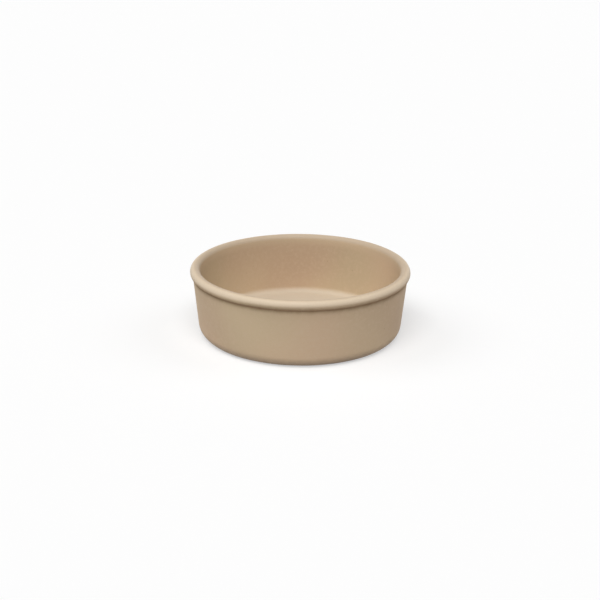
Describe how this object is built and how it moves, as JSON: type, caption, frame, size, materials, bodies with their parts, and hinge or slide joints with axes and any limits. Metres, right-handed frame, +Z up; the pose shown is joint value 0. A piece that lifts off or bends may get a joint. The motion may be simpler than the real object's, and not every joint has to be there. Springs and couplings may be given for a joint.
{
  "type": "casserole dish",
  "caption": "Round open baking dish in glazed stoneware with a leaning wall, a rolled rim and a bare foot ring, for oven baking and serving.",
  "frame": {"origin": "on the dish's axis, in the plane of the foot ring's underside, where the dish stands on a table", "axes": "+Z up along the dish's axis of turning, towards the rim; +X and +Y lie in the table's plane and can point any way, because the dish is round"},
  "size_m": [0.1598, 0.1598, 0.051],
  "materials": {
    "clay": "bare fired stoneware, fine grain",
    "glaze": "satin beige glaze"
  },
  "bodies": {
    "root": {"clay_body": "clay", "glaze_coat": "glaze", "underside_glaze": "glaze"}
  },
  "joints": []
}
